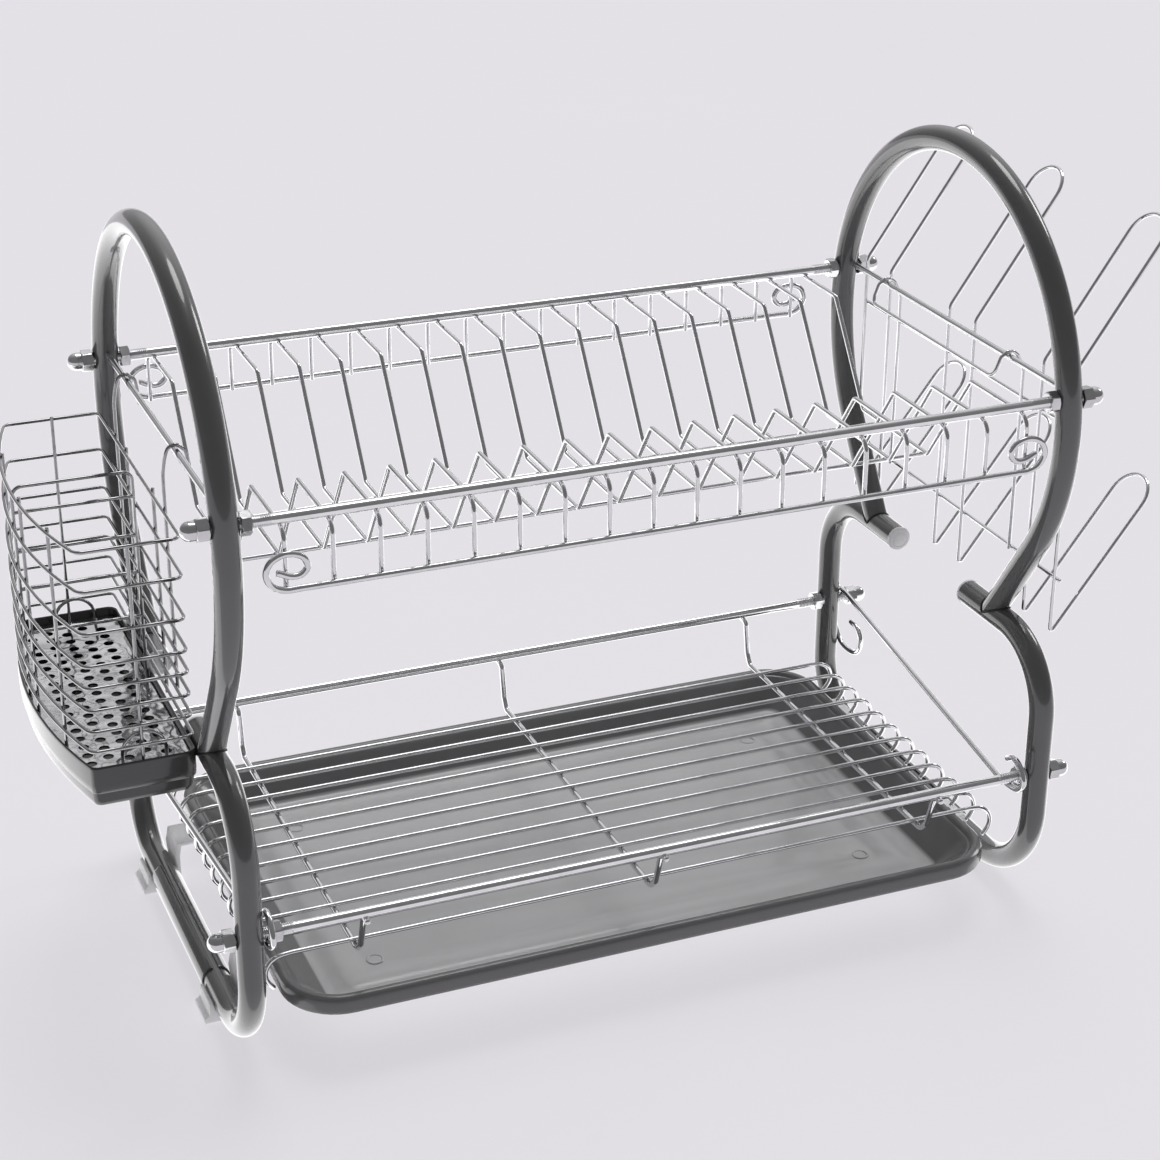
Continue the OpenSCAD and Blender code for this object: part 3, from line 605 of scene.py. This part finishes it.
wires("front_rail", [rail_path(RAIL_F, RAIL_Z)], RAIL_R, MAT_WIRE, "rack", ["plate_rail_front"])
wires("back_rail", [rail_path(RAIL_B, RAIL_Z)], RAIL_R, MAT_WIRE, "rack", ["plate_rail_back"])
wires("trough_wires", [[Vector((x, y, RUNG_LOW - 2.3)) for x in (-191.4, 0, 191.4)] for y in (-23, 26)],
      RUNG_R, MAT_WIRE, "rack", ["plate_trough_wires"], 12)

# ---------------------------------------------------------------- lower shelf

SZ = 52.7
paths = []
for i in range(12):
    y = 89.5 - (11 - i) * 17.0
    end = [(198.9, y, SZ - 18), (202, y, SZ - 13.6), (202.7, y, SZ - 9), (200.8, y, SZ - 4.2),
           (196.4, y, SZ - 1), (189, y, SZ)]
    right = smooth_path(end, 5)
    left = [mirror_x(p) for p in right]
    paths.append(left + right[::-1])
wires("shelf_long_wires", paths, RUNG_R, MAT_WIRE, "rack", ["shelf_wires"], 12)
CZ = SZ - RUNG_R - RAIL_R + WELD
TIE = LOW_Z - ROD_R - RAIL_R + WELD
paths = []
for x in (-157, 0, 157):
    paths.append(fillet(
        [(x, ROD_Y + 3, TIE), (x, ROD_Y - 3.2, TIE), (x, ROD_Y - 7, CZ + 6), (x, ROD_Y - 11, CZ),
         (x, -ROD_Y + 16, CZ), (x, -ROD_Y + 10, CZ + 6), (x, -ROD_Y + 3.2, TIE), (x, -ROD_Y - 3, TIE)],
        [0, 3, 5, 6, 6, 5, 3, 0]))
wires("shelf_cross_bars", paths, RAIL_R, MAT_WIRE, "rack", ["shelf_cross_wires"])

OVER = LOW_Z + THREAD_R + RAIL_R - WELD
UNDER = TIE
XB = FX + TR + RAIL_R + NUT_GAP


def guard_path(xf):
    """Scroll at the back outside the frame, then down the slant to an eye round the front rod at xf."""
    rear = smooth_path([
        (XB, 105, OVER - 16), (XB, 97, OVER - 17), (XB, 92, OVER - 23), (XB, 94.5, OVER - 31),
        (XB, 102, OVER - 35), (XB, 115, OVER - 35), (XB, 123, OVER - 29), (XB, 127, OVER - 18),
        (XB, 126.5, OVER - 6), (XB, 122.5, OVER - 1), (XB, 117, OVER), (XB, 109, OVER - 1)], 6)
    front = smooth_path([(xf, -108, UNDER), (xf, -119, UNDER), (xf, -127.5, UNDER + 2), (xf, -132, UNDER + 8),
                         (xf, -127.5, UNDER + 15), (xf, -121, UNDER + 17.4), (xf, -115, UNDER + 14.4)], 6)
    return rear + front


wires("slant_wire_right", [guard_path(199.5)], RAIL_R, MAT_WIRE, "rack", ["guard_wire_right"])
wires("slant_wire_left", [[mirror_x(p) for p in guard_path(FX - TR - 1.8)]], RAIL_R, MAT_WIRE, "rack",
      ["guard_wire_left"])

# ---------------------------------------------------------------- drip tray

# half sizes, corner radius, top, underside, and how far the lip hangs down
TX, TY, TC, TTOP, TLOW, LIP = 195.5, 125.0, 30.0, 38.0, 18.6, 9.5


def tray_loop(inset, z):
    """The tray's rounded outline, drawn in by inset, at height z."""
    seg, r = 12, max(TC - inset, 8)
    out = []
    for c, (sx, sy) in enumerate(((1, 1), (-1, 1), (-1, -1), (1, -1))):
        for k in range(seg):
            a = math.radians(c * 90 + k * 90 / (seg - 1))
            out.append((sx * (TX - inset - r) + r * math.cos(a), sy * (TY - inset - r) + r * math.sin(a), z))
    return out


# inset and height of each loop: up the outside, round the lip and rim, and down to the floor
TRAY_LOOPS = [
    (26, TLOW), (24, TLOW + 0.3), (22.8, TLOW + 1.2), (16, TTOP - LIP - 3.6), (9.6, TTOP - LIP),
    (8.6, TTOP - LIP + 0.4), (2.2, TTOP - LIP + 0.4), (1.4, TTOP - LIP), (0.9, TTOP - LIP),
    (0.55, TTOP - LIP + 0.5), (0.5, TTOP - LIP + 1.1), (0.05, TTOP - LIP + 1.6), (0.0, TTOP - 4.2),
    (0.2, TTOP - 2.6), (0.8, TTOP - 1.2), (2.0, TTOP - 0.35), (3.4, TTOP), (4.9, TTOP - 0.25),
    (5.9, TTOP - 0.9), (6.5, TTOP - 1.8), (6.9, TTOP - 2.2), (7.6, TTOP - 2.3), (8.2, TTOP - 2.7),
    (10, TTOP - 4.2), (24.2, TLOW + 2.7), (25.0, TLOW + 2.1), (26.2, TLOW + 1.7), (33, TLOW + 1.65),
    (34, TLOW + 2.1), (46, TLOW + 2.1), (47, TLOW + 1.65), (52, TLOW + 1.65), (53, TLOW + 1.9)]
MARK_PROFILE = [(1.0, 3.3), (2.0, 3.4), (2.25, 3.7), (2.3, 4.0), (2.25, 4.3), (2.0, 4.6), (1.0, 4.7)]
tray_parts = [skin([tray_loop(inset, z) for inset, z in TRAY_LOOPS], True, True)]
for x in (-139, 139):
    for y in (-71, 71):
        tray_parts.append(lathe(MARK_PROFILE, (x, y, TLOW), (0, 0, 1), 36))
v, f = join(tray_parts)
finish_piece("drip_tray_shell", v, f, MAT_TRAY, "tray", ["drip_tray"], 30)

# ---------------------------------------------------------------- cutlery basket

# inner side, width, how far the outer side bows, front and back
BX, BW, BB, BF, BK = -223.6, 48.4, 13.5, -68.5, 104.5
RINGS = [266.7, 246.9, 225.7, 209.1, 197.8, 186.2, 175.1, 164.7]
PLATE = 152.6
mid, half = (BF + BK) / 2, (BK - BF) / 2
bow_r = (half * half + BB * BB) / (2 * BB)
UPX = BX - 1.65
POST_X = BX + 1.65


def bow(y):
    return math.sqrt(max(bow_r ** 2 - (y - mid) ** 2, 0)) - bow_r + BB


def ring_path(z, g=0.0):
    """The basket's outline at height z, grown by g."""
    pts = [(BX + g, BK + g, z), (BX + g, BF - g, z), (BX - BW - g * 0.5, BF - g, z)]
    n = 14
    for k in range(1, n):
        y = BF + (BK - BF) * k / n
        pts.append((BX - BW - bow(y) - g, y, z))
    pts.append((BX - BW - g * 0.5, BK + g, z))
    return pts


def ring_wire(z):
    pts = ring_path(z)
    rad = [4, 4, 5] + [0] * 13 + [5]
    return fillet(pts, rad, 12.0, True)


wires("basket_ring_set", [ring_wire(z) for z in RINGS], BASKET_R, MAT_BASKET_PAINTED_SHADE, "basket",
      ["basket_rings"], 10, closed=True)
HZ = BAR_Z + BAR_R + BASKET_R + HOOK_GAP
paths = []
for y in (70, -33):
    paths.append(smooth_path([
        (-FX + 5.6, y - 1, 282), (-FX + 4.6, y, 293.4), (-FX + 2.2, y, HZ - 0.9), (-FX - 0.6, y, HZ + 0.4),
        (-FX - 4.4, y, HZ - 2), (-FX - 6.6, y, 286), (POST_X, y, 276), (POST_X, y, 250), (POST_X, y, 173)], 7))
wires("basket_hook_wires", paths, BASKET_R, MAT_BASKET_PAINTED_SHADE, "basket", ["basket_hooks"], 10)
paths = []
for y in (-8, 48):
    paths.append([Vector((POST_X, y, 158.9)), Vector((POST_X, y, RINGS[0] + 1.1))])
for y in (-38, 3, 62):
    x = BX - BW - bow(y) + 1.5
    paths.append([Vector((x, y, PLATE)), Vector((x, y, RINGS[0] + 1.5))])
for y in (BF + 1.65, BK - 1.65):
    paths.append([Vector((-248, y, PLATE)), Vector((-248, y, RINGS[0] + 1.5))])
wires("basket_upright_wires", paths, BASKET_R, MAT_BASKET_PAINTED_SHADE, "basket", ["basket_uprights"], 10)
y = 22.5  # where the divider stands
xo = BX - BW - bow(y) + 1.5
paths = [fillet([(UPX, y, PLATE), (UPX, y, RINGS[0] - 1), (xo, y, RINGS[0] - 1), (xo, y, PLATE)], 5)]
for z in (252.6, 232, 212, 188):
    paths.append([Vector((UPX, y, z)), Vector((xo, y, z))])
wires("basket_divider_wires", paths, BASKET_R, MAT_BASKET_PAINTED_SHADE, "basket", ["basket_divider"], 10)
paths = []
for y in (BF + 7.5, BK - 7.5):
    p = [Vector((-235.5, y, PLATE)), Vector((-235.5, y, PLATE + 5))]
    for k in range(13):
        a = math.pi * k / 12
        p.append(Vector((-246 + 10.5 * math.cos(a), y, PLATE + 5 + 10.4 * math.sin(a))))
    p.append(Vector((-256.5, y, PLATE)))
    paths.append(p)
wires("basket_arch_wires", paths, BASKET_R, MAT_BASKET_PAINTED_SHADE, "basket", ["basket_arches"], 10)

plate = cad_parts["drainer_plate"]
plate.data.materials.clear()
plate.data.materials.append(MAT_PLATE)


def cup_loop(g, z):
    pts = ring_path(z, g)
    return [(p.x, p.y, z) for p in fillet(pts, [5, 5, 4] + [0] * 13 + [4], 15.0, True)]


RIM = 157.0
# growth and height of each loop: up the outside, over the rim and down the inside
CUP_LOOPS = [(-3.4, RIM - 22), (-2.2, RIM - 21.9), (-1.2, RIM - 21.2), (-0.6, RIM - 20.2),
             (-0.3, RIM - 18.6), (0.0, RIM - 14.6), (0.45, RIM - 14.2), (0.9, RIM - 13.6),
             (1.1, RIM - 10), (1.15, RIM - 2), (1.1, RIM - 0.8), (0.8, RIM - 0.2), (0.45, RIM),
             (0.05, RIM - 0.2), (-0.3, RIM - 0.8), (-0.3, RIM - 17.6), (-0.8, RIM - 18.4),
             (-3.0, RIM - 19.4), (-3.4, RIM - 20.2)]
loops = [cup_loop(g, z) for g, z in CUP_LOOPS]
shortest = min(len(loop) for loop in loops)
loops = [loop for loop in loops if len(loop) == shortest]  # skin() needs loops of one length
v, f = skin(loops, True, True)
f = [q[::-1] for q in f]
finish_piece("drip_cup_shell", v, f, MAT_CUP, "cup", ["basket_drip_cup"], 35)

# ---------------------------------------------------------------- cup holder

HX = 223.9
loops = []
for a, b in ((108.5, 81), (15, -12), (-80.5, -107)):
    m, h = (a + b) / 2, abs(a - b) / 2

    def arch(foot, peak, first):
        """Half a loop's arm, leaning from foot to peak and rounded over at the end."""
        d = Vector((peak[0] - foot[0], 0, peak[1] - foot[1]))
        u = d.normalized()
        out = []
        for k in range(17):
            t = math.pi * k / 16
            q = Vector((foot[0], 0, foot[1])) + u * (d.length - h + h * math.sin(t))
            q.y = m + (first - m) * math.cos(t)
            out.append(q)
        return out

    top = arch((HX, 297.5), (HX + 51.5, 372.5), a)
    low = arch((HX + 5.5, 162.2), (HX + 57.5, 231), b)
    pts = [Vector((HX, a, 170)), Vector((HX, a, 297.5))] + top
    pts += [Vector((HX, b, 297.5)), Vector((HX, b, 158)), Vector((HX + 1.9, b, 157.4))] + low
    pts += [Vector((HX + 1.9, a, 157.4)), Vector((HX, a, 158))]
    rad = [0, 8] + [0] * 17 + [8, 3.2, 3.2] + [0] * 17 + [3.2, 3.2]
    loops.append(fillet(pts, rad, 10.0, True))
wires("holder_loop_set", loops, HOLDER_R, MAT_WIRE, "holder", ["holder_loops"], 12, closed=True)
rails = [[Vector((HX + 1.85, -q, z)), Vector((HX + 1.85, q, z))] for z, q in ((271, 111), (186.5, 109.5))]
wires("holder_rail_pair", rails, HOLDER_R, MAT_WIRE, "holder", ["holder_rails"], 12)
HH = BAR_Z + BAR_R + HOLDER_R + HOOK_GAP
hang = fillet([
    (HX, -62, 186), (HX, -62, 288), (FX + 4.6, -62, 295.6), (FX + 1.8, -62, HH - 0.3),
    (FX - 1.6, -62, HH - 0.1), (FX - 5, -62, 295.4), (FX - 9, -62, 285), (FX - 9, 69, 285),
    (FX - 5, 69, 295.4), (FX - 1.6, 69, HH - 0.1), (FX + 1.8, 69, HH - 0.3), (FX + 4.6, 69, 295.6),
    (HX, 69, 288), (HX, 69, 186)],
    [0, 8, 3, 2, 2, 3, 5, 5, 3, 2, 2, 3, 8, 0])
wires("holder_hanger_wire", [hang], HOLDER_R, MAT_WIRE, "holder", ["holder_hanger"], 12)

# ---------------------------------------------------------------- stage, light, camera


def stage_plane(name, size, location, rotation, mat):
    me = bpy.data.meshes.new(name)
    s = size / 2
    me.from_pydata([(-s, -s, 0), (s, -s, 0), (s, s, 0), (-s, s, 0)], [], [(0, 1, 2, 3)])
    ob = bpy.data.objects.new(name, me)
    ob.location, ob.rotation_euler = location, rotation
    me.materials.append(mat)
    bpy.context.scene.collection.objects.link(ob)
    return ob


m, t, p = principled("floor_pale")
n = noise(t, 2.0)
shade = ramp(t, n.outputs["Fac"], (0.295, 0.287, 0.302), (0.305, 0.297, 0.312))
link(t, shade.outputs["Color"], p.inputs["Base Color"])
p.inputs["Roughness"].default_value = 0.9
p.inputs["Specular IOR Level"].default_value = 0.0
p.inputs["Emission Color"].default_value = (0.79, 0.768, 0.807, 1)
p.inputs["Emission Strength"].default_value = 0.765
FLOOR_M, WALL_AT_M = 80, 39.5
stage_plane("floor", FLOOR_M, (0, 0, 0), (0, 0, 0), m)

# bright strip on the floor under and behind the rack: seen only in reflections, never by a camera
m, t, p = principled("card_bright")
n = noise(t, 1.0)
shade = ramp(t, n.outputs["Fac"], (0.97, 0.96, 0.98), (1.0, 0.99, 1.0))
link(t, shade.outputs["Color"], p.inputs["Emission Color"])
p.inputs["Base Color"].default_value = (0.5, 0.5, 0.5, 1)
p.inputs["Emission Strength"].default_value = 1.35
card = stage_plane("card_back", 1.7, (0.0, 0.71, 0.003), (0, 0, 0), m)
card.visible_camera = card.visible_shadow = False
card.visible_diffuse = card.visible_transmission = False

# pale walls round the floor, which light nothing. They show only to a camera that sees 40 m or more,
# so a view with a nearer far limit still looks past the floor's edge.
m, t, p = principled("wall_pale")
n = noise(t, 1.0)
shade = ramp(t, n.outputs["Fac"], (0.785, 0.763, 0.802), (0.795, 0.773, 0.812))
link(t, shade.outputs["Color"], p.inputs["Emission Color"])
p.inputs["Base Color"].default_value = (0.0, 0.0, 0.0, 1)
p.inputs["Specular IOR Level"].default_value = 0.0
p.inputs["Emission Strength"].default_value = 1.0
for quarter in range(4):
    a = quarter * math.pi / 2
    wall = stage_plane("wall_%d" % quarter, FLOOR_M,
                       (WALL_AT_M * math.cos(a), WALL_AT_M * math.sin(a), FLOOR_M / 2 - 0.1),
                       (math.radians(90), 0, a + math.pi / 2), m)
    wall.visible_glossy = wall.visible_diffuse = False
    wall.visible_shadow = wall.visible_transmission = False

# soft light that grows towards one side of the sky
world = bpy.data.worlds.new("studio")
bpy.context.scene.world = world
world.use_nodes = True
wt = world.node_tree
direction = wt.nodes.new("ShaderNodeTexCoord")
aim = wt.nodes.new("ShaderNodeVectorMath")
aim.operation = "DOT_PRODUCT"
aim.inputs[1].default_value = (0.30, 0.64, 0.62)
link(wt, direction.outputs["Generated"], aim.inputs[0])
sky = ramp(wt, aim.outputs["Value"], (0.17, 0.17, 0.173), (1.05, 1.045, 1.07), 0.0, 1.0)
for pos, val in ((0.45, 0.20), (0.75, 0.42)):
    e = sky.color_ramp.elements.new(pos)
    e.color = (val, val, val * 1.02, 1)
link(wt, sky.outputs["Color"], wt.nodes["Background"].inputs["Color"])
bpy.context.scene.view_settings.view_transform = "Standard"


def sun(name, strength, angle, location, target):
    d = bpy.data.lights.new(name, "SUN")
    d.energy, d.angle = strength, math.radians(angle)
    o = bpy.data.objects.new(name, d)
    o.location = location
    o.rotation_euler = (Vector(target) - Vector(location)).to_track_quat("-Z", "Y").to_euler()
    bpy.context.scene.collection.objects.link(o)


sun("key", 0.6, 26, (0.5, 0.8, 2.2), (0, 0, 0))
sun("side", 0.35, 16, (2.2, 0.7, 1.3), (0, 0, 0))

cam = bpy.data.objects.new("camera", bpy.data.cameras.new("camera"))
bpy.context.scene.collection.objects.link(cam)
AZ, EL, ROLL = math.radians(-22.29), math.radians(24.57), math.radians(0.24)
back = Vector((math.sin(AZ) * math.cos(EL), -math.cos(AZ) * math.cos(EL), math.sin(EL)))
cam.location = (-0.4525, -1.1086, 0.7262)
fwd = -back
right = fwd.cross(Vector((0, 0, 1))).normalized()
up = right.cross(fwd)
rolled_right = right * math.cos(ROLL) + up * math.sin(ROLL)
rolled_up = -right * math.sin(ROLL) + up * math.cos(ROLL)
turn = Matrix((rolled_right, rolled_up, -fwd)).transposed().to_4x4()
cam.matrix_world = Matrix.Translation(cam.location) @ turn
SENSOR, FOCAL, FRAME = 36.0, 2507.0, 1160.0  # sensor in mm, focal length and frame width in pixels
cam.data.sensor_width = SENSOR
cam.data.lens = SENSOR * FOCAL / FRAME
cam.data.clip_start = 0.05
cam.data.clip_end = 300
bpy.context.scene.camera = cam

bpy.context.view_layer.update()
